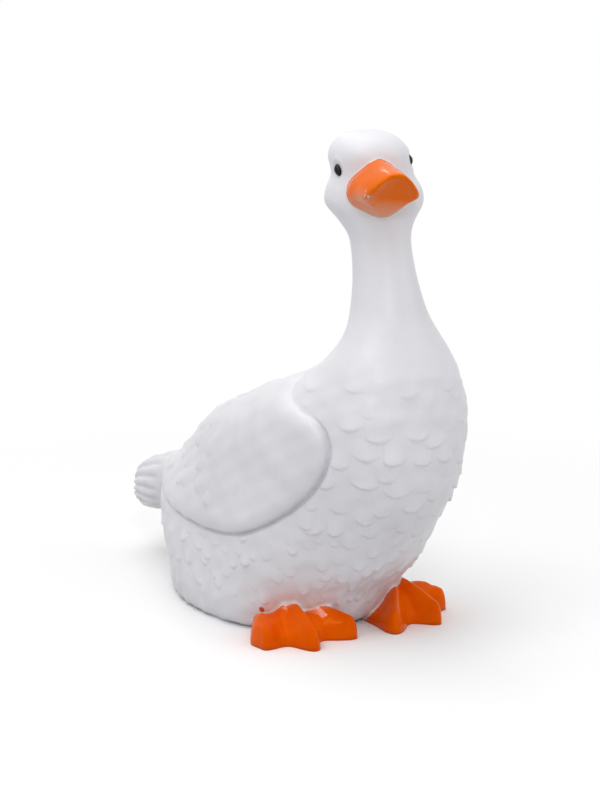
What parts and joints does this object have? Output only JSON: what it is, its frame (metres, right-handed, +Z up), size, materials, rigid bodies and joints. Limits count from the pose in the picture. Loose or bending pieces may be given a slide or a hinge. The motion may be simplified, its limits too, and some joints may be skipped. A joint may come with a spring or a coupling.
{
  "type": "duck garden statue",
  "caption": "Sitting white duck or goose garden figure with long neck, folded feathered wings, stub tail, orange bill and webbed feet, flat base.",
  "frame": {"origin": "centre of the bounding box in plan, on the floor plane", "axes": "+Z up, the breast faces -Y and the tail +Y, the head looks a little towards -X, the duck's right"},
  "size_m": [0.14, 0.3, 0.31],
  "materials": {
    "white_paint": "satin white paint on a cast body"
  },
  "bodies": {
    "root": {"duck_statue": "white_paint"}
  },
  "joints": []
}
